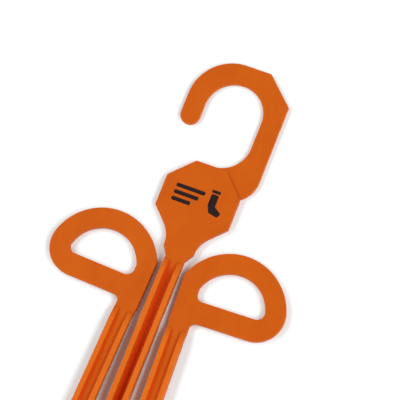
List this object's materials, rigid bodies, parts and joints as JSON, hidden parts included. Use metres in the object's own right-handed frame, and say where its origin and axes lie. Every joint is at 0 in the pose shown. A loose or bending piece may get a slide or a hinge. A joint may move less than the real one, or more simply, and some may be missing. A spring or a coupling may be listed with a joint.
{
  "type": "sock aid",
  "caption": "Hanging sock aid with a flat hook, a ribbed centre stem and hinged side arms with D-shaped finger grips that spread a sock's opening.",
  "frame": {"origin": "middle of the length and width, on the flat back that the object lies on", "axes": "+X across, to the right seen from the front; +Y along the stem towards the hook; +Z out of the front"},
  "size_m": [0.162, 0.42, 0.0114],
  "materials": {
    "orange_plastic": "matt moulded",
    "steel": "satin"
  },
  "bodies": {
    "stem": {"stem": "orange_plastic", "hook": "orange_plastic", "foot_back": "orange_plastic", "foot_front": "orange_plastic", "left_pivot_pin": "steel", "right_pivot_pin": "steel", "left_friction_washer": "steel", "right_friction_washer": "steel", "foot_screws": "steel"},
    "left_arm": {"left_arm": "orange_plastic"},
    "right_arm": {"right_arm": "orange_plastic"}
  },
  "joints": [
    {"name": "left_arm_hinge", "type": "hinge", "parent": "stem", "child": "left_arm", "pos_m": [-0.0272, -0.194, 0.0057], "axis": [0, 0, 1], "range_deg": [0, 25]},
    {"name": "right_arm_hinge", "type": "hinge", "parent": "stem", "child": "right_arm", "pos_m": [0.0272, -0.194, 0.0057], "axis": [0, 0, -1], "range_deg": [0, 25]}
  ]
}
